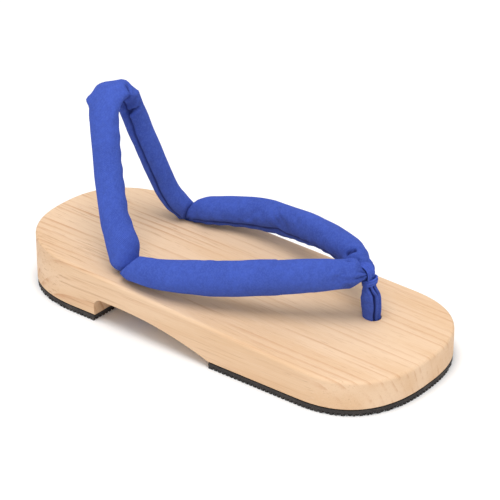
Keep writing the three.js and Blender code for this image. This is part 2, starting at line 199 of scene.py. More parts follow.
# From the hole up to the binding: place between the two, and half sizes of the section.
TOE_POST = [
    {"share": 0.00, "wide": 3.7, "deep": 3.7},
    {"share": 0.26, "wide": 4.25, "deep": 4.2},
    {"share": 0.42, "wide": 4.8, "deep": 4.6},
    {"share": 0.60, "wide": 4.9, "deep": 4.6},
    {"share": 0.76, "wide": 4.1, "deep": 3.9},
    {"share": 0.86, "wide": 3.3, "deep": 3.2},
    {"share": 1.00, "wide": 3.3, "deep": 3.2},
]
BAND = {"centre": (12.4, -75.1, 41.3), "radius": 3.3, "height": 3.8}
POST_LOW = Vector((13.8, -76.0, 15.5))
POST_HIGH = Vector((12.2, -75.0, 42.8))
# Lengthwise folds of the post: direction round it at five heights, half width, and depth share.
POST_FOLDS = [
    {"turns": [-2.1, -2.1, -1.95, -2.0, -2.6], "width": 0.19, "depth": 0.34},
    {"turns": [-1.6, -1.5, -1.35, -1.3, -1.9], "width": 0.17, "depth": 0.32},
    {"turns": [-0.7, -0.7, -0.6, -0.5, -0.7], "width": 0.20, "depth": 0.22},
    {"turns": [0.5, 0.5, 0.7, 0.6, 0.5], "width": 0.18, "depth": 0.26},
    {"turns": [1.9, 1.8, 1.9, 2.1, 2.0], "width": 0.22, "depth": 0.22},
]

# ---- View and light -----------------------------------------------------------------------------

EYE = Vector((-0.796, -0.625, 0.568))   # the viewer's place, seen from the sandal's frame
AIM = Vector((0.004, -0.006, 0.040))
LENS = 160.0                            # millimetres on a 36 mm sensor
LIGHTS = [
    {"name": "key", "place": (-0.30, -0.10, 1.45), "size": 0.9, "power": 13.6},
    {"name": "fill", "place": (-0.9, -0.9, 0.5), "size": 0.8, "power": 1.5},
]
SKY = 0.76
FLOOR_HALF = 6000.0

# ---- Mesh helpers -------------------------------------------------------------------------------


def new_object(name, points, faces):
    """A mesh object from points in millimetres."""
    mesh = bpy.data.meshes.new(name)
    mesh.from_pydata([tuple(p) for p in np.asarray(points, float) * MM], [], faces)
    mesh.update()
    piece = bpy.data.objects.new(name, mesh)
    bpy.context.scene.collection.objects.link(piece)
    return piece


def loft(name, rings):
    """Skins a stack of rings, each with the same number of points, and closes both ends."""
    rings = np.asarray(rings, float)
    count, sides = rings.shape[:2]
    faces = []
    for r in range(count - 1):
        for i in range(sides):
            j = (i + 1) % sides
            faces.append((r * sides + i, r * sides + j, (r + 1) * sides + j, (r + 1) * sides + i))
    faces.append(tuple(reversed(range(sides))))
    faces.append(tuple((count - 1) * sides + i for i in range(sides)))
    return new_object(name, rings.reshape(-1, 3), faces)


def prism(name, corners, low, high, axis=0):
    """A flat outline of (along, up) corners, extruded along X (axis 0) or along Y (axis 1)."""
    rings = []
    for at in (low, high):
        rings.append([(at, a, z) if axis == 0 else (a, at, z) for a, z in corners])
    piece = loft(name, rings)
    face_outwards(piece)
    return piece


def face_outwards(piece):
    mesh = bmesh.new()
    mesh.from_mesh(piece.data)
    bmesh.ops.recalc_face_normals(mesh, faces=mesh.faces)
    mesh.to_mesh(piece.data)
    mesh.free()


def apply_modifiers(piece):
    graph = bpy.context.evaluated_depsgraph_get()
    made = bpy.data.meshes.new_from_object(piece.evaluated_get(graph))
    piece.modifiers.clear()
    piece.data = made
    return piece


def cut(piece, cutter):
    """Subtracts cutter from piece and removes it."""
    modifier = piece.modifiers.new("cut", "BOOLEAN")
    modifier.operation = "DIFFERENCE"
    modifier.solver = "EXACT"
    modifier.object = cutter
    apply_modifiers(piece)
    bpy.data.objects.remove(cutter)
    return piece


def join(pieces, name):
    """One object made of several, which are removed."""
    whole = bmesh.new()
    for piece in pieces:
        whole.from_mesh(piece.data)
        bpy.data.objects.remove(piece)
    mesh = bpy.data.meshes.new(name)
    whole.to_mesh(mesh)
    whole.free()
    joined = bpy.data.objects.new(name, mesh)
    bpy.context.scene.collection.objects.link(joined)
    return joined


def round_edges(piece, width, segments):
    bevel = piece.modifiers.new("bevel", "BEVEL")
    bevel.width = width * MM
    bevel.segments = segments
    bevel.limit_method = "ANGLE"
    bevel.angle_limit = math.radians(35)
    bevel.use_clamp_overlap = True
    normals = piece.modifiers.new("normals", "WEIGHTED_NORMAL")
    normals.keep_sharp = True
    shade_smooth(piece, 50)
    return apply_modifiers(piece)


def shade_smooth(piece, angle=180):
    mesh = piece.data
    mesh.polygons.foreach_set("use_smooth", [True] * len(mesh.polygons))
    mesh.set_sharp_from_angle(angle=math.radians(angle))


def ramp(value, low, high):
    """0 below low, 1 above high, and a smooth step between them."""
    t = np.clip((np.asarray(value, float) - low) / (high - low), 0, 1)
    return t * t * (3 - 2 * t)


# ---- Wooden base --------------------------------------------------------------------------------


def top_height(y):
    share = 0.5 - np.asarray(y, float) / LENGTH
    return HEEL_HEIGHT + (TOE_HEIGHT - HEEL_HEIGHT) * share


def round_corner(shape, steps):
    """(share of the length, share of the width) round one end, from the tip to the straight."""
    angle = np.linspace(0, math.pi / 2, steps)
    along = shape["length"] * (1 - np.cos(angle) ** (2 / shape["power"]))
    return np.column_stack([along, np.sin(angle) ** (2 / shape["power"])])


def plan_outline(inset=0.0, steps=34):
    """The outline from above, anticlockwise, moved inwards by inset."""
    heel = round_corner(HEEL_ROUND, steps)
    toe = round_corner(TOE_ROUND, steps)[::-1]
    shares = np.concatenate([heel[:, 0], [0.3, 0.4, 0.5, 0.6, 0.7], 1 - toe[:, 0]])
    widths = np.concatenate([heel[:, 1], np.ones(5), toe[:, 1]])
    half = (HEEL_HALF_WIDTH + (TOE_HALF_WIDTH - HEEL_HALF_WIDTH) * shares) * widths
    y = LENGTH * (0.5 - shares)
    outer = np.column_stack([-half, y])
    inner = np.column_stack([half, y])[::-1]
    loop = np.concatenate([outer[:-1], inner[:-1]])
    run = np.roll(loop, -1, axis=0) - np.roll(loop, 1, axis=0)
    run /= np.linalg.norm(run, axis=1)[:, None]
    return loop + inset * np.column_stack([-run[:, 1], run[:, 0]])


def flat_ring(inset, z):
    outline = plan_outline(inset)
    return np.column_stack([outline, np.full(len(outline), z)])


def sloped_ring(inset, below):
    outline = plan_outline(inset)
    return np.column_stack([outline, top_height(outline[:, 1]) - below])


def arch_height(y):
    away = ARCH_TOP_Y - min(y, ARCH_TOP_Y)
    return ARCH_TOP - (ARCH_RADIUS - math.sqrt(ARCH_RADIUS**2 - away**2))


def arch_cutter():
    corners = [(FOREFOOT_REAR_Y, -5.0), (HEEL_FRONT_Y, -5.0)]
    for angle in np.linspace(0, math.pi / 2, 8):
        y = HEEL_FRONT_Y - ARCH_CORNER * (1 - math.cos(angle))
        corners.append((y, ARCH_TOP - ARCH_CORNER * (1 - math.sin(angle))))
    for y in np.linspace(ARCH_TOP_Y, FOREFOOT_REAR_Y, 24):
        corners.append((y, arch_height(y)))
    return prism("arch_cutter", corners, -BEYOND, BEYOND)


def hole_axis(hole, z):
    """A point on a side hole's leaning axis, at height z."""
    below = float(top_height(hole["y"])) - z
    return Vector((hole["x"], hole["y"] - below * SIDE_HOLE_LEAN, z))


def rod(name, radius, low, high, sides=40):
    rings = []
    for end in (low, high):
        turn = np.linspace(0, 2 * math.pi, sides, endpoint=False)
        ring = np.column_stack([np.cos(turn), np.sin(turn), np.zeros(sides)]) * radius
        rings.append(ring + np.array(end))
    return loft(name, rings)


def wooden_base():
    edge = np.radians([0, 18, 36, 54, 72, 90])
    rings = [flat_ring(BOTTOM_EDGE, WOOD_BOTTOM), flat_ring(0.0, WOOD_BOTTOM + BOTTOM_EDGE)]
    rings += [
        sloped_ring(TOP_EDGE_RADIUS * (1 - math.cos(a)), TOP_EDGE_RADIUS * (1 - math.sin(a)))
        for a in edge
    ]
    rings.append(sloped_ring(TOP_EDGE_RADIUS + 0.8, 0.0))
    base = loft("wooden_base_detailed", rings)
    cut(base, arch_cutter())
    for hole in (OUTER_HOLE, INNER_HOLE):
        drill = rod("drill", SIDE_HOLE_RADIUS, hole_axis(hole, 0.0), hole_axis(hole, BEYOND))
        cut(base, drill)
    floor_of_hole = float(top_height(TOE_HOLE["y"])) - TOE_HOLE["depth"]
    low = Vector((TOE_HOLE["x"], TOE_HOLE["y"], floor_of_hole))
    cut(base, rod("drill", TOE_HOLE["radius"], low, low + Vector((0, 0, BEYOND))))
    return round_edges(base, 0.5, 2)


# ---- Rubber outsoles ----------------------------------------------------------------------------


def grooves(low, high, axis):
    """Parallel grooves across the tread between low and high, as one mesh of separate bars."""
    half = TREAD["groove"] / 2
    bars = []
    count = int((high - low) / TREAD["pitch"])
    start = (low + high) / 2 - (count - 1) / 2 * TREAD["pitch"]
    for i in range(count):
        at = start + i * TREAD["pitch"]
        corners = [
            (at - half, -1.0),
            (at + half, -1.0),
            (at + half * 0.7, TREAD["depth"]),
            (at - half * 0.7, TREAD["depth"]),
        ]
        bars.append(prism("groove", corners, -2 * BEYOND, 2 * BEYOND, axis))
    return join(bars, "grooves")


def outsole(name, from_y, to_y):
    """A slab under one block, with a waffle tread cut into its underside."""
    slab = loft(name, [flat_ring(SOLE_INSET, 0.0), flat_ring(SOLE_INSET, RUBBER)])
    for low, high in ((-LENGTH, from_y), (to_y, LENGTH)):
        corners = [(low, -5.0), (high, -5.0), (high, RUBBER + 5.0), (low, RUBBER + 5.0)]
        cut(slab, prism("end_cutter", corners, -BEYOND, BEYOND))
    cut(slab, grooves(max(from_y, -LENGTH / 2) + 1.0, min(to_y, LENGTH / 2) - 1.0, 0))
    cut(slab, grooves(-TOE_HALF_WIDTH + 1.0, TOE_HALF_WIDTH - 1.0, 1))
    shade_smooth(slab, 30)
    return slab


# ---- Padded straps ------------------------------------------------------------------------------


def smooth_line(points, count):
    """count points evenly spaced on a smooth curve through points, with tangents and shares."""
    points = np.asarray(points, float)
    steps = np.linalg.norm(np.diff(points, axis=0), axis=1) ** 0.5
    knots = np.concatenate([[0], np.cumsum(steps)])
    slopes = np.gradient(points, knots, axis=0)
    fine = np.linspace(0, knots[-1], 40 * len(points))
    i = np.clip(np.searchsorted(knots, fine, side="right") - 1, 0, len(points) - 2)
    gap = (knots[i + 1] - knots[i])[:, None]
    t = (fine - knots[i])[:, None] / gap
    line = (
        (2 * t**3 - 3 * t**2 + 1) * points[i]
        + (t**3 - 2 * t**2 + t) * gap * slopes[i]
        + (-2 * t**3 + 3 * t**2) * points[i + 1]
        + (t**3 - t**2) * gap * slopes[i + 1]
    )
    run = np.concatenate([[0], np.cumsum(np.linalg.norm(np.diff(line, axis=0), axis=1))])
    along = np.linspace(0, run[-1], count)
    place = np.column_stack([np.interp(along, run, line[:, k]) for k in range(3)])
    tangent = np.gradient(place, axis=0)
    tangent /= np.linalg.norm(tangent, axis=1)[:, None]
    share = np.interp(along, run, fine)
    return place, tangent, along, np.interp(share, knots, np.arange(len(points)))


def padded_tube(name, rows, facing, tied):
    """A closed padded tube through the rows, with domed ends, filled by simulation, and a cloth
    map in millimetres. tied lists (place, reach) where the cloth is bound and can't swell."""
    centres = [(row["x"], row["y"], row["z"]) for row in rows]
    length = sum(math.dist(a, b) for a, b in zip(centres, centres[1:]))
    place, tangent, along, index = smooth_line(centres, int(length / TUBE_SPACING))
    wide = row_sizes(rows, "wide", index) - SLACK
    deep = row_sizes(rows, "deep", index) - SLACK
    place, tangent, along, wide, deep = with_domes(place, tangent, along, wide, deep)
    across = np.cross(tangent, facing)
    across /= np.linalg.norm(across, axis=1)[:, None]
    out = np.cross(across, tangent)
    turn = np.linspace(0, 2 * math.pi, TUBE_SIDES, endpoint=False)
    rings = (
        place[:, None, :]
        + (deep[:, None] * np.cos(turn))[:, :, None] * out[:, None, :]
        + (wide[:, None] * np.sin(turn))[:, :, None] * across[:, None, :]
    )
    limp = loft(name + "_limp", rings)
    rings = fill_with_wadding(limp, tied).reshape(rings.shape)
    bpy.data.objects.remove(limp)
    rings = finer(finer(rings, 1, True), 0, False)
    fine = np.interp(np.arange(len(rings)) / 2, np.arange(len(along)), along)
    piece = loft(name, rings)
    radius = float(np.median(wide)) + SLACK
    map_cloth(piece, fine, 2 * TUBE_SIDES, radius)
    return piece


def fill_with_wadding(limp, tied):
    """Blows the closed limp tube up with Blender's cloth solver and gives the points where it
    comes to rest. The tube's own line stays, and no point goes further than CLOTH_CAP from it."""
    before = points_of(limp)
    held = limp.vertex_groups.new(name="held")
    weight = np.zeros(len(before))
    for place, reach in tied:
        away = np.linalg.norm(before - np.asarray(place, float), axis=1)
        weight = np.maximum(weight, 1 - ramp(away, 0.6 * reach, reach))
    for index, share in enumerate(weight):
        if share > 0.02:
            held.add([index], float(share), "REPLACE")
    modifier = limp.modifiers.new("cloth", "CLOTH")
    cloth = modifier.settings
    cloth.quality = 8
    cloth.mass = 0.2
    cloth.tension_stiffness = 25.0
    cloth.compression_stiffness = 25.0
    cloth.shear_stiffness = 8.0
    cloth.bending_stiffness = 0.4
    cloth.use_pressure = True
    cloth.uniform_pressure_force = 4.0
    cloth.shrink_min = -0.015
    cloth.vertex_group_mass = "held"
    cloth.effector_weights.gravity = 0.0
    modifier.collision_settings.use_collision = False
    modifier.collision_settings.use_self_collision = False
    modifier.point_cache.frame_start = 1
    modifier.point_cache.frame_end = CLOTH_FRAMES
    scene = bpy.context.scene
    for step in range(1, CLOTH_FRAMES + 1):
        scene.frame_set(step)
    apply_modifiers(limp)
    scene.frame_set(1)
    moved = (points_of(limp) - before).reshape(-1, TUBE_SIDES, 3)
    moved = (moved - moved.mean(axis=1, keepdims=True)).reshape(-1, 3)
    far = np.linalg.norm(moved, axis=1)
    scale = np.where(far > CLOTH_CAP, CLOTH_CAP / np.maximum(far, 1e-9), 1.0)
    return before + moved * scale[:, None]


def finer(rings, axis, closed):
    """Doubles the points along one axis with a smooth curve through the present ones."""
    rings = np.moveaxis(rings, axis, 0)
    count = len(rings)
    index = np.arange(count if closed else count - 1)
    pick = (lambda i: rings[i % count]) if closed else (lambda i: rings[np.clip(i, 0, count - 1)])
    middle = (9 * (pick(index) + pick(index + 1)) - pick(index - 1) - pick(index + 2)) / 16
    made = np.empty((count + len(index), *rings.shape[1:]))
    made[0::2] = rings
    made[1::2] = middle
    return np.moveaxis(made, 0, axis)


def row_sizes(rows, key, index):
    sizes = [row.get(key, row.get("radius")) for row in rows]
    low = np.clip(index.astype(int), 0, len(rows) - 2)
    t = index - low
    blend = t * t * (3 - 2 * t)
    sizes = np.asarray(sizes, float)
    return sizes[low] * (1 - blend) + sizes[low + 1] * blend


def with_domes(place, tangent, along, wide, deep):
    """Adds shrinking rings beyond both ends."""
    angles = np.radians([12, 24, 36, 48, 59, 69, 78, 85])
    for end, sign in ((0, -1), (-1, 1)):
        small = min(wide[end], deep[end])
        offsets = sign * small * np.sin(angles)
        centre = place[end] + offsets[:, None] * tangent[end]
        extra = [
            centre,
            np.repeat(tangent[end][None], len(angles), axis=0),
            along[end] + offsets,
            wide[end] * np.cos(angles),
            deep[end] * np.cos(angles),
        ]
        have = [place, tangent, along, wide, deep]
        if sign < 0:
            have = [np.concatenate([new[::-1], old]) for new, old in zip(extra, have)]
        else:
            have = [np.concatenate([old, new]) for new, old in zip(extra, have)]
        place, tangent, along, wide, deep = have
    return place, tangent, along, wide, deep


def map_cloth(piece, along, sides, radius):
    """A UV map that lays the cloth flat: length along the tube and length round it, in metres."""
    layer = piece.data.uv_layers.new(name="cloth")
    around = 2 * math.pi * radius / sides
    rings = len(along)
    for face in piece.data.polygons:
        wraps = face.index < (rings - 1) * sides and face.index % sides == sides - 1
        for corner in face.loop_indices:
            vertex = piece.data.loops[corner].vertex_index
            ring, side = divmod(vertex, sides)
            if wraps and side == 0:
                side = sides
            layer.data[corner].uv = (along[ring] * MM, side * around * MM)


def points_of(piece):
    points = np.zeros(len(piece.data.vertices) * 3)
    piece.data.vertices.foreach_get("co", points)
    return points.reshape(-1, 3) / MM


def normals_of(piece):
    normals = np.zeros(len(piece.data.vertices) * 3)
    piece.data.vertices.foreach_get("normal", normals)
    return normals.reshape(-1, 3)


def move_points(piece, points):
    piece.data.vertices.foreach_set("co", (points * MM).ravel())
    piece.data.update()


def swell(piece, height):
    """Moves each point out along its normal by height, an array in millimetres."""
    move_points(piece, points_of(piece) + normals_of(piece) * height[:, None])


def along_segment(points, start, end):
    """(share along the segment, distance from it) of each point."""
    start = np.asarray(start, float)
    run = np.asarray(end, float) - start
    share = np.clip((points - start) @ run / (run @ run), 0, 1)
    return share, np.linalg.norm(points - start - share[:, None] * run, axis=1)


def distance_to_path(points, path):
    """(share along the path, distance from it) of each point, for a path of corners."""
    nearest = np.full(len(points), np.inf)
    at = np.zeros(len(points))
    count = len(path) - 1
    for i in range(count):
        share, away = along_segment(points, path[i], path[i + 1])
        closer = away < nearest
        nearest[closer] = away[closer]
        at[closer] = (i + share[closer]) / count
    return at, nearest


def press_crease(piece, path, width, depth):
    """A soft trough along a path, with a low ridge on each side of it."""
    at, away = distance_to_path(points_of(piece), path)
    fade = 0.25 + 0.75 * ramp(at, 0.0, 0.2) * (1 - ramp(at, 0.8, 1.0))
    near = np.exp(-((away / width) ** 2))
    shoulder = np.exp(-(((away - 1.9 * width) / width) ** 2))
    swell(piece, fade * depth * (CREASE_LIP * shoulder - near))
    # painted shade along the trough, darker where it is deeper
    if depth > 0:
        note_fold_shade(piece, fade * near * min(depth / 1.5, 1.0))


def note_fold_shade(piece, share):
    """Remembers how deep in a fold each point lies, 0 to 1, for the painted shade that darkens the
    cloth's colour there.
    """
    layer = piece.data.attributes.get("fold")
    if layer is None:
        layer = piece.data.attributes.new("fold", "FLOAT", "POINT")
    depth = np.zeros(len(share))
    layer.data.foreach_get("value", depth)
    layer.data.foreach_set("value", np.maximum(depth, share))


def shade_hollows(piece, hollows):
    points = points_of(piece)
    for place, reach, dark in hollows:
        away = np.linalg.norm(points - np.asarray(place), axis=1)
        # painted shade round each hollow
        note_fold_shade(piece, dark * np.exp(-((away / reach) ** 2)))


def pull(piece, at, move, reach):
    """Draws the cloth round one place by move, fading out over reach."""
    points = points_of(piece)
    away = np.linalg.norm(points - np.asarray(at, float), axis=1)
    share = np.exp(-((away / reach) ** 2))
    move_points(piece, points + share[:, None] * np.asarray(move, float))


def gather(piece, centre, axis, folds, reach, depth, phase, start):
    """Pleats with narrow valleys that run out from a tied point, round the axis through it,
    between the distances start and reach."""
    points = points_of(piece) - np.asarray(centre, float)
    axis = np.asarray(axis, float) / np.linalg.norm(axis)
    side = np.cross(axis, (0.31, 0.52, 0.80))
    side /= np.linalg.norm(side)
    turn = np.arctan2(points @ np.cross(axis, side), points @ side)
    distance = np.linalg.norm(points, axis=1)
    wander = 0.9 * np.sin(2 * turn + phase) + 0.5 * np.sin(3 * turn + 2 * phase)
    wave = 0.5 + 0.5 * np.cos(folds * turn + wander + phase)
    uneven = 0.65 + 0.35 * np.sin(2 * turn + 3.1 * phase)
    length = reach * (0.75 + 0.25 * np.sin(3 * turn + phase))
    fade = (1 - ramp(distance, 0.3 * length, length)) * ramp(distance, start, start + 2.5)
    swell(piece, depth * uneven * fade * (0.25 - wave**4))
    # painted shade in the pleats' valleys
    note_fold_shade(piece, 0.9 * uneven * fade * wave**5)


def rumple(piece, size, depth, seed):
    """Slow uneven fullness of the padding under the cloth."""
    offset = Vector((seed * 17.3, seed * 5.1, seed * 9.7))
    height = [noise.noise(Vector(p) / size + offset) for p in points_of(piece)]
    swell(piece, depth * np.array(height))


def press_on_board(piece, holes):
    """Keeps the strap on top of the board, except inside the holes."""
    points = points_of(piece)
    inside = np.zeros(len(points), bool)
    for hole in holes:
        axis_y = hole["y"] - (top_height(hole["y"]) - points[:, 2]) * SIDE_HOLE_LEAN
        away = np.hypot(points[:, 0] - hole["x"], points[:, 1] - axis_y)
        inside |= away < SIDE_HOLE_RADIUS - 0.2
    floor = top_height(points[:, 1]) + BOARD_CLEARANCE
    low = ~inside & (points[:, 2] < floor)
    points[low, 2] = floor[low]
    move_points(piece, points)


def press_at_crease(piece, hole, sign):
    """Flattens the strap against the other one in the same hole. sign +1 keeps what is behind
    the crease (the heel strap), and -1 what is ahead of it (the thong)."""
    points = points_of(piece)
    board = float(top_height(hole["y"]))
    rise = points[:, 2] - board
    lean = np.where(rise > 0, -hole["crease_lean"], SIDE_HOLE_LEAN)
    plane = hole["y"] + rise * lean + sign * GAP / 2
    near = np.abs(points[:, 0] - hole["x"]) < CREASE_REACH
    over = sign * (plane - points[:, 1])
    crossing = near & (over > 0) & (rise < CREASE_REACH)
    points[crossing, 1] += sign * over[crossing]
    move_points(piece, points)


def seam(piece, turns, width, depth, pucker):
    """A sewn seam along the tube: a trough with small uneven puckers beside it. turns says where
    round the tube it starts and ends, as shares of a full turn."""
    sides = 2 * TUBE_SIDES
    ring, side = np.divmod(np.arange(len(piece.data.vertices)), sides)
    rings = len(piece.data.vertices) / sides
    around = side / sides - np.interp(ring, [0, rings], turns)
    around = around - np.round(around)
    distance = around * 2 * math.pi * STRAP_RADIUS
    fade = ramp(ring, 9, 16) * (1 - ramp(ring, rings - 16, rings - 9))
    trough = np.exp(-((distance / width) ** 2))
    beside = np.exp(-(((np.abs(distance) - 2.4 * width) / (1.6 * width)) ** 2))
    wave = np.cos(ring * pucker["turn"] + 1.3 * np.sin(ring * 0.11))
    swell(piece, fade * (beside * pucker["height"] * (0.4 + wave) - depth * trough))
    # painted shade along the seam's trough
    note_fold_shade(piece, 0.8 * fade * trough)


def bend_rows():
    return [
        {"x": APEX.x + step, "y": APEX.y, "z": APEX.z, "radius": BEND_RADIUS}
        for step in BEND_STEPS
    ]


def tied_end(name, hole):
    """Both straps' gathered ends in one side hole, down to the knot under the board."""
    knot = hole_axis(hole, ARCH_TOP - GAP - KNOT["tall"])
    knot.y -= KNOT["ahead"]
    board = float(top_height(hole["y"]))
    sides = 48
    turn = np.linspace(0, 2 * math.pi, sides, endpoint=False)
    circle = np.column_stack([np.cos(turn), np.sin(turn), np.zeros(sides)])
    pleats = (1 - 0.07 * (0.5 + 0.5 * np.cos(9 * turn + np.sin(2 * turn))) ** 3)[:, None]
    rings = []
    for z in np.linspace(board - NECK_DEPTH, knot.z + KNOT["tall"] * 0.6, 24):
        rings.append(circle * NECK_RADIUS * pleats + np.array(hole_axis(hole, z)))
    for a in np.radians(np.linspace(38, -86, 16)):
        ring = circle * KNOT["wide"] * math.cos(a) * pleats
        rings.append(ring + np.array(knot) + (0.0, 0.0, KNOT["tall"] * math.sin(a)))
    piece = loft(name, rings)
    map_cloth(piece, np.linspace(0, 30, len(rings)), sides, NECK_RADIUS)
    rumple(piece, 5.0, 0.35, 4)
    face_outwards(piece)
    shade_smooth(piece)
    return piece


def tied_places(lift):
    """Where the straps are tied in their side holes, this far above the board."""
    return [
        Vector((hole["x"], hole["y"], float(top_height(hole["y"])) + lift))
        for hole in (OUTER_HOLE, INNER_HOLE)
    ]


def thong_strap():
    up = np.array([0.0, 0.0, 1.0])
    rows = OUTER_ARM + bend_rows() + INNER_ARM[::-1]
    tied = [(place, 6.0) for place in tied_places(1.0)] + [(APEX, 6.0)]
    piece = padded_tube("thong_strap_cloth", rows, up, tied)
    rumple(piece, 13.0, 0.35, 1)
    seam(piece, (0.60, 0.66), 1.2, 1.0, {"turn": 0.9, "height": 0.22})
    near_end = APEX + Vector((-3.4, 0.0, 0.3))
    far_end = APEX + Vector((3.2, 0.0, 0.3))
    gather(piece, near_end, (0.75, -0.6, 0.0), 10, 13.0, 1.7, 0.4, 2.5)
    gather(piece, far_end, (-0.4, -1.0, 0.0), 8, 12.0, 1.3, 2.1, 2.5)
    for path, width, depth in THONG_CREASES:
        press_crease(piece, path, width, depth)
    shade_hollows(piece, THONG_HOLLOW_SHADE)
    for hole, place in zip((OUTER_HOLE, INNER_HOLE), tied_places(0.0)):
        gather(piece, place, (0, -0.7, 0.8), 10, 13.0, 1.2, 0.8, 3.0)
        press_at_crease(piece, hole, -1)
    press_on_board(piece, (OUTER_HOLE, INNER_HOLE))
    shade_smooth(piece)
    return piece


def heel_strap():
    back = np.array([0.0, 1.0, 0.0])
    rows = OUTER_LEG + [HEEL_FOLD] + INNER_LEG[::-1]
    piece = padded_tube("heel_strap_cloth", rows, back, [(p, 6.0) for p in tied_places(2.0)])
    rumple(piece, 13.0, 0.35, 2)
    for place, move, reach in HEEL_PULLS:
        pull(piece, place, move, reach)
    seam(piece, (0.62, 0.75), 1.2, 1.1, {"turn": 0.85, "height": 0.22})
    for path, width, depth in HEEL_CREASES:
        press_crease(piece, path, width, depth)
    shade_hollows(piece, HEEL_HOLLOW_SHADE)
    for hole, place in zip((OUTER_HOLE, INNER_HOLE), tied_places(1.0)):
        gather(piece, place, (0, 0.5, 1), 10, 13.0, 1.2, 2.2, 3.0)
        press_at_crease(piece, hole, 1)
    press_on_board(piece, (OUTER_HOLE, INNER_HOLE))
    shade_smooth(piece)
    return piece


# ---- Toe post -----------------------------------------------------------------------------------

def post_centre(share):
    return np.array(POST_LOW.lerp(POST_HIGH, share))


def toe_post():
    """The cloth post between the toes, folded lengthwise."""
    sides = 96
    count = 72
    turn = np.linspace(0, 2 * math.pi, sides, endpoint=False)
    shares = [row["share"] for row in TOE_POST]
    rings = []
    for share in np.linspace(0, 1, count):
        wide = np.interp(share, shares, [row["wide"] for row in TOE_POST])
        deep = np.interp(share, shares, [row["deep"] for row in TOE_POST])
        folds = post_folds(turn, share)
        ring = np.column_stack([wide * folds * np.cos(turn), deep * folds * np.sin(turn), 0 * turn])
        rings.append(ring + post_centre(share))
    piece = loft("toe_post_cloth", rings)
    # painted shade in the post's lengthwise folds
    depth = np.concatenate([1 - post_folds(turn, share) for share in np.linspace(0, 1, count)])
    note_fold_shade(piece, np.clip(depth * 4.0, 0, 1))
    map_cloth(piece, np.linspace(0, 27, count), sides, 4.5)
    rumple(piece, 4.0, 0.35, 3)
    shade_smooth(piece)
    return piece


def post_folds(turn, share):
    """Radius factor round the post."""
    factor = np.ones_like(turn)
    for fold in POST_FOLDS:
        at = np.interp(share, [0.0, 0.28, 0.50, 0.68, 0.86], fold["turns"])
        away = np.abs(np.angle(np.exp(1j * (turn - at))))
        factor -= fold["depth"] * np.exp(-((away / fold["width"]) ** 2))
        factor += 0.35 * fold["depth"] * np.exp(-(((away / fold["width"]) - 2.1) ** 2))
    return factor


def binding_wrap():
    """The cloth that goes over the thong's bend, in overlapping turns."""
    sides = 96
    turn = np.linspace(0, 2 * math.pi, sides, endpoint=False)
    across = np.linspace(-1, 1, 29)
    half = BINDING["width"] / 2
    middle = (BINDING["inner"] + BINDING["outer"]) / 2
    thick = (BINDING["outer"] - BINDING["inner"]) / 2
    profile = [(u, 1.0) for u in across] + [(u, -1.0) for u in across[::-1]]
    down = ramp(-np.sin(turn), 0.3, 1.0)
    rings = []
    for u, side in profile:
        edge = math.sqrt(max(1e-3, 1 - abs(u) ** 6))
        slanted = u + 0.35 * np.sin(turn - 0.6)
        ridge = 0.30 * np.cos(2.6 * math.pi * slanted + 0.6) * (side > 0) * edge
        radius = middle + side * thick * edge + ridge
        x = APEX.x + u * half * (1 - 0.25 * down) + 1.0 * down
        y = APEX.y + radius * np.cos(turn) - 1.6 * down
        rings.append(np.column_stack([x, y, APEX.z + radius * np.sin(turn)]))
    return closed_sweep("toe_post_wrap", rings)


def closed_sweep(name, rings):
    """Skins rings into a loop that closes on itself, with no ends."""
    rings = np.asarray(rings, float)
    count, sides = rings.shape[:2]
    faces = []
    for r in range(count):
        s = (r + 1) % count
        for i in range(sides):
            j = (i + 1) % sides
            faces.append((r * sides + i, r * sides + j, s * sides + j, s * sides + i))
    piece = new_object(name, rings.reshape(-1, 3), faces)
    face_outwards(piece)
    shade_smooth(piece)
    return piece


def binding_band():
    """The tight band round the top of the post, made of a few wound turns."""
    sides = 80
    turn = np.linspace(0, 2 * math.pi, sides, endpoint=False)
    middle = np.array(BAND["centre"])
    rings = []
    for a in np.linspace(0, 2 * math.pi, 44, endpoint=False):
        up = math.sin(a)
        outward = math.cos(a)
        ridge = 0.20 * math.cos(up * 8.5) if outward > 0 else 0.0
        radius = BAND["radius"] + 0.7 * outward + ridge
        tilt = 0.26 * radius * np.cos(turn + 0.913)
        rings.append(np.column_stack([
            middle[0] + radius * np.cos(turn),
            middle[1] + radius * np.sin(turn),
            middle[2] + up * BAND["height"] / 2 + tilt,
        ]))
    return closed_sweep("toe_post_band", rings)


# ---- Materials ----------------------------------------------------------------------------------


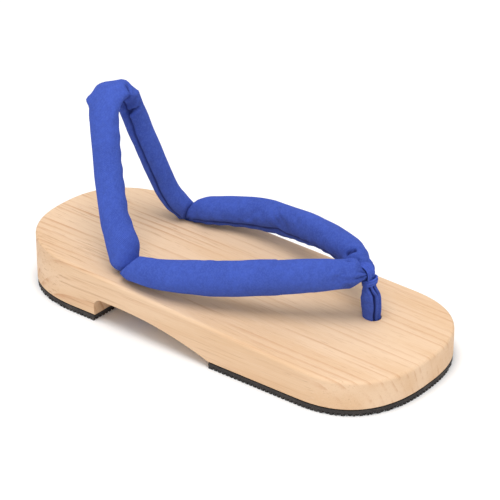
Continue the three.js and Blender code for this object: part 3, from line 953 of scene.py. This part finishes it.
class Nodes:
    """Short names for building one material's node tree."""

    def __init__(self, name):
        self.material = bpy.data.materials.new(name)
        self.material.use_nodes = True
        self.tree = self.material.node_tree
        self.shader = self.tree.nodes["Principled BSDF"]

    def add(self, kind, **settings):
        node = self.tree.nodes.new(kind)
        for key, value in settings.items():
            setattr(node, key, value)
        return node

    def link(self, source, target):
        self.tree.links.new(source, target)

    def feed(self, socket, value):
        """Links an output, or sets a plain value."""
        if isinstance(value, bpy.types.NodeSocket):
            self.link(value, socket)
        else:
            socket.default_value = value

    def math(self, operation, a, b=0.0, c=0.0):
        node = self.add("ShaderNodeMath", operation=operation)
        for socket, value in zip(node.inputs, (a, b, c)):
            self.feed(socket, value)
        return node.outputs[0]

    def vector(self, operation, a, b=(0.0, 0.0, 0.0)):
        node = self.add("ShaderNodeVectorMath", operation=operation)
        self.feed(node.inputs[0], a)
        self.feed(node.inputs[1], b)
        return node.outputs[0]

    def noise(self, place, scale, detail=2.0, rough=0.5):
        node = self.add("ShaderNodeTexNoise")
        self.link(place, node.inputs["Vector"])
        node.inputs["Scale"].default_value = scale
        node.inputs["Detail"].default_value = detail
        node.inputs["Roughness"].default_value = rough
        return node.outputs["Fac"]

    def band(self, value, low, high, to_low=0.0, to_high=1.0):
        node = self.add("ShaderNodeMapRange", interpolation_type="SMOOTHSTEP")
        for key, number in (("From Min", low), ("From Max", high), ("To Min", to_low),
                            ("To Max", to_high)):
            node.inputs[key].default_value = number
        self.link(value, node.inputs["Value"])
        return node.outputs[0]

    def mix(self, share, a, b):
        node = self.add("ShaderNodeMix", data_type="RGBA")
        self.feed(node.inputs["Factor"], share)
        colours = [s for s in node.inputs if s.type == "RGBA"]
        self.feed(colours[0], a)
        self.feed(colours[1], b)
        return [s for s in node.outputs if s.type == "RGBA"][0]

    def bump(self, height, distance, strength=1.0, under=None):
        node = self.add("ShaderNodeBump")
        node.inputs["Distance"].default_value = distance * MM
        node.inputs["Strength"].default_value = strength
        self.link(height, node.inputs["Height"])
        if under is not None:
            self.link(under, node.inputs["Normal"])
        return node.outputs["Normal"]


def srgb(red, green, blue):
    """A linear colour from 0-255 display values."""
    linear = []
    for value in (red, green, blue):
        share = value / 255
        linear.append(share / 12.92 if share <= 0.04045 else ((share + 0.055) / 1.055) ** 2.4)
    return (*linear, 1.0)


def late_wood(n, mm, parts, heel):
    """How much of the growth rings' dark late wood shows, stronger at the heel."""
    wander = n.noise(n.vector("MULTIPLY", mm, (0.020, 0.0045, 0.020)), 1.0, 1.0)
    waver = n.noise(n.vector("MULTIPLY", mm, (0.16, 0.016, 0.16)), 1.0, 2.0)
    x = n.math("ADD", parts.outputs["X"], LOG_CENTRE[0])
    z = n.math("ADD", parts.outputs["Z"], LOG_CENTRE[1])
    radius = n.math("SQRT", n.math("ADD", n.math("MULTIPLY", x, x), n.math("MULTIPLY", z, z)))
    radius = n.math("ADD", radius, n.math("MULTIPLY", wander, 7.0))
    radius = n.math("ADD", radius, n.math("MULTIPLY", waver, 1.2))
    ring = n.math("FRACT", n.math("DIVIDE", radius, RING_PITCH))
    late = n.math("MULTIPLY", n.band(ring, 0.55, 0.95), n.band(ring, 0.95, 1.0, 1.0, 0.0))
    strong = n.band(n.noise(n.vector("MULTIPLY", mm, (0.19, 0.007, 0.19)), 1.0, 2.0), 0.44, 0.66)
    late = n.math("MULTIPLY", late, n.math("ADD", n.math("MULTIPLY", strong, 0.55), 0.06))
    return n.math("MULTIPLY", late, n.math("ADD", n.math("MULTIPLY", heel, 0.7), 0.75))


def wood_material():
    n = Nodes("pale_softwood")
    place = n.add("ShaderNodeTexCoord").outputs["Object"]
    mm = n.vector("SCALE", place)
    mm.node.inputs["Scale"].default_value = 1 / MM
    parts = n.add("ShaderNodeSeparateXYZ")
    n.link(mm, parts.inputs[0])
    heel = n.band(parts.outputs["Y"], 20.0, 85.0)
    late = late_wood(n, mm, parts, heel)
    fibre = n.noise(n.vector("MULTIPLY", mm, (0.85, 0.011, 0.85)), 1.0, 3.0, 0.6)
    fine = n.noise(n.vector("MULTIPLY", mm, (3.2, 0.05, 3.2)), 1.0, 2.0, 0.6)
    pores = n.noise(n.vector("MULTIPLY", mm, (1.9, 0.045, 1.9)), 1.0, 1.0)
    broad = n.noise(n.vector("MULTIPLY", mm, (0.045, 0.007, 0.045)), 1.0, 2.0)
    colour = n.mix(n.band(broad, 0.35, 0.70), srgb(226, 194, 161), srgb(216, 179, 141))
    colour = n.mix(late, colour, srgb(190, 138, 98))
    strength = n.math("ADD", n.math("MULTIPLY", heel, 0.40), 0.22)
    streak = n.math("MULTIPLY", n.band(fibre, 0.54, 0.74), strength)
    facing = n.add("ShaderNodeSeparateXYZ")
    n.link(n.add("ShaderNodeTexCoord").outputs["Normal"], facing.inputs[0])
    end_grain = n.band(n.math("ABSOLUTE", facing.outputs["Y"]), 0.35, 0.85)
    side_grain = n.math("SUBTRACT", 1.0, n.math("MULTIPLY", end_grain, 0.7))
    streak = n.math("MULTIPLY", streak, side_grain)
    colour = n.mix(streak, colour, srgb(168, 124, 90))
    colour = n.mix(n.band(fine, 0.30, 0.50, 0.22, 0.0), colour, srgb(236, 212, 184))
    colour = n.mix(n.band(pores, 0.66, 0.76, 0.0, 0.28), colour, srgb(150, 106, 74))
    away = n.vector("DISTANCE", mm, SPECK).node.outputs["Value"]
    colour = n.mix(n.band(away, 0.5, 1.7, 0.75, 0.0), colour, srgb(112, 78, 56))
    n.link(colour, n.shader.inputs["Base Color"])
    n.link(n.band(fibre, 0.3, 0.7, 0.52, 0.64), n.shader.inputs["Roughness"])
    n.shader.inputs["Specular IOR Level"].default_value = 0.3
    relief = n.math("ADD", n.math("MULTIPLY", late, -0.6), n.math("MULTIPLY", fibre, 0.8))
    n.link(n.bump(relief, 0.22, 0.5), n.shader.inputs["Normal"])
    return n.material


def fabric_material():
    n = Nodes("royal_blue_cloth")
    cloth = n.add("ShaderNodeUVMap", uv_map="cloth").outputs["UV"]
    place = n.add("ShaderNodeTexCoord").outputs["Object"]
    parts = n.add("ShaderNodeSeparateXYZ")
    n.link(cloth, parts.inputs[0])
    diagonal = n.math("ADD", parts.outputs["X"], n.math("MULTIPLY", parts.outputs["Y"], 1.6))
    twill = n.math("SINE", n.math("MULTIPLY", diagonal, 2 * math.pi / (TWILL_PITCH * MM)))
    crepe = n.noise(place, 1100.0, 2.0)
    slub = n.noise(place, 330.0, 3.0, 0.6)
    patches = n.noise(place, 45.0, 2.0)
    colour = n.mix(n.band(slub, 0.35, 0.65), srgb(62, 83, 170), srgb(66, 89, 181))
    colour = n.mix(n.band(patches, 0.4, 0.7, 0.0, 0.4), colour, srgb(56, 74, 155))
    colour = n.mix(n.band(twill, -0.2, 0.9, 0.0, 0.24), colour, srgb(88, 114, 200))
    colour = n.mix(n.band(crepe, 0.45, 0.62, 0.0, 0.18), colour, srgb(90, 118, 206))
    # painted shade: the cloth turns dark blue where the fold attribute marks creases, pleats, seams
    # and hollows
    fold = n.add("ShaderNodeAttribute", attribute_name="fold").outputs["Fac"]
    colour = n.mix(n.band(fold, 0.15, 0.9, 0.0, 0.8), colour, srgb(26, 30, 82))
    n.link(colour, n.shader.inputs["Base Color"])
    n.shader.inputs["Roughness"].default_value = 0.9
    n.shader.inputs["Specular IOR Level"].default_value = 0.08
    n.shader.inputs["Sheen Weight"].default_value = 0.05
    n.shader.inputs["Sheen Roughness"].default_value = 0.5
    n.shader.inputs["Sheen Tint"].default_value = srgb(96, 120, 220)
    weave = n.bump(twill, 0.12, 0.7)
    crumple = n.bump(slub, 0.30, 0.5, under=weave)
    n.link(n.bump(crepe, 0.12, 0.5, under=crumple), n.shader.inputs["Normal"])
    return n.material


def rubber_material():
    n = Nodes("black_rubber")
    place = n.add("ShaderNodeTexCoord").outputs["Object"]
    grain = n.noise(place, 900.0, 3.0)
    dust = n.noise(place, 130.0, 3.0, 0.6)
    colour = n.mix(n.band(dust, 0.45, 0.75, 0.0, 0.5), srgb(44, 40, 39), srgb(74, 68, 64))
    n.link(colour, n.shader.inputs["Base Color"])
    n.link(n.band(grain, 0.3, 0.7, 0.72, 0.88), n.shader.inputs["Roughness"])
    n.link(n.bump(grain, 0.10, 0.5), n.shader.inputs["Normal"])
    return n.material


def floor_material():
    n = Nodes("pale_floor")
    n.shader.inputs["Base Color"].default_value = (0.93, 0.93, 0.93, 1.0)
    n.shader.inputs["Roughness"].default_value = 0.9
    n.shader.inputs["Specular IOR Level"].default_value = 0.0
    return n.material


def dress(piece, material, slot, *nodes):
    """Gives a finished piece its material and its body, and hides the CAD nodes that it stands for.
    """
    piece.data.materials.clear()
    piece.data.materials.append(material)
    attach(piece, "root")
    if nodes:
        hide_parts(*nodes)


# ---- Camera, light and floor --------------------------------------------------------------------

def add_camera():
    data = bpy.data.cameras.new("camera")
    data.lens = LENS
    data.sensor_width = 36.0
    camera = bpy.data.objects.new("camera", data)
    camera.location = EYE
    camera.rotation_mode = "QUATERNION"
    camera.rotation_quaternion = (AIM - EYE).to_track_quat("-Z", "Y")
    bpy.context.scene.collection.objects.link(camera)
    bpy.context.scene.camera = camera


def add_light(name, place, size, power):
    data = bpy.data.lights.new(name, "AREA")
    data.size = size
    data.energy = power
    lamp = bpy.data.objects.new(name, data)
    lamp.location = place
    lamp.rotation_mode = "QUATERNION"
    lamp.rotation_quaternion = (-Vector(place)).to_track_quat("-Z", "Y")
    bpy.context.scene.collection.objects.link(lamp)


def add_studio():
    world = bpy.data.worlds.new("studio")
    world.use_nodes = True
    background = world.node_tree.nodes["Background"]
    background.inputs["Color"].default_value = (1.0, 1.0, 1.0, 1.0)
    background.inputs["Strength"].default_value = SKY
    bpy.context.scene.world = world
    for light in LIGHTS:
        add_light(**light)
    bpy.context.scene.view_settings.view_transform = "Standard"
    corners = [(-1, -1, 0), (1, -1, 0), (1, 1, 0), (-1, 1, 0)]
    floor = new_object("floor", np.array(corners) * FLOOR_HALF, [(0, 1, 2, 3)])
    floor.data.materials.append(floor_material())


# ---- Assembly -----------------------------------------------------------------------------------


def build():
    wood = wood_material()
    rubber = rubber_material()
    fabric = fabric_material()
    dress(wooden_base(), wood, "wood", "wooden_base")
    heel = outsole("heel_outsole_ribbed", HEEL_FRONT_Y + SOLE_SETBACK, LENGTH)
    dress(heel, rubber, "rubber", "heel_outsole")
    forefoot = outsole("forefoot_outsole_ribbed", -LENGTH, FOREFOOT_REAR_Y - SOLE_SETBACK)
    dress(forefoot, rubber, "rubber", "forefoot_outsole")
    thong = thong_strap()
    dress(thong, fabric, "strap_fabric", "thong_strap")
    heel_loop = heel_strap()
    dress(heel_loop, fabric, "strap_fabric", "heel_strap")
    dress(tied_end("outer_strap_end", OUTER_HOLE), fabric, "strap_fabric")
    dress(tied_end("inner_strap_end", INNER_HOLE), fabric, "strap_fabric")
    dress(toe_post(), fabric, "strap_fabric", "toe_post")
    dress(binding_wrap(), fabric, "strap_fabric")
    dress(binding_band(), fabric, "strap_fabric")


add_camera()
add_studio()
build()
